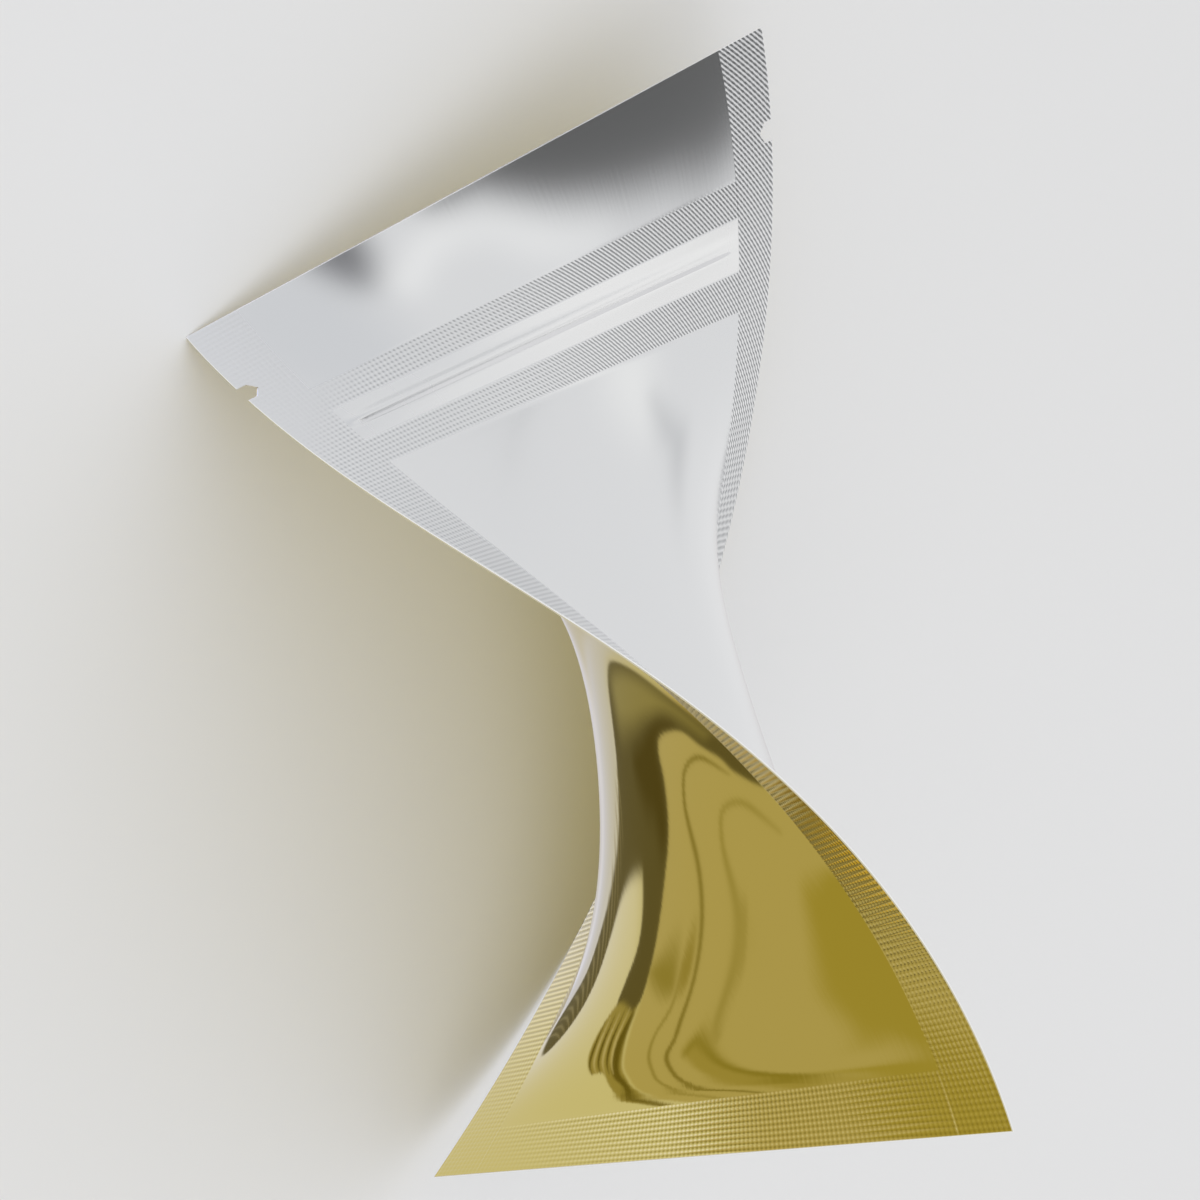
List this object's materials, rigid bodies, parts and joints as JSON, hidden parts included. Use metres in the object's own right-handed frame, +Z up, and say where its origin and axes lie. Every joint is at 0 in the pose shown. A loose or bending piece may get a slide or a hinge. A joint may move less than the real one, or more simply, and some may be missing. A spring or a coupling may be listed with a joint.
{
  "type": "zip foil bag",
  "caption": "Flat foil zip bag, silver on one side and gold on the other, twisted and bent along its length and lying on a table.",
  "frame": {"origin": "on the table, under the middle of the bag's bounding box", "axes": "+Z up from the table the bag lies on, +X from the mouth end to the base end, +Y away from the viewer of the picture, who looks down on the bag"},
  "size_m": [0.158, 0.0964, 0.0921],
  "materials": {
    "silver_film": "satin metallised film, with a fine dimple pattern on the welds",
    "gold_film": "mirror-bright metallised gold film on the back face, with a fine dimple pattern on the welds"
  },
  "bodies": {
    "root": {"foil_bag": "silver_film"}
  },
  "joints": []
}
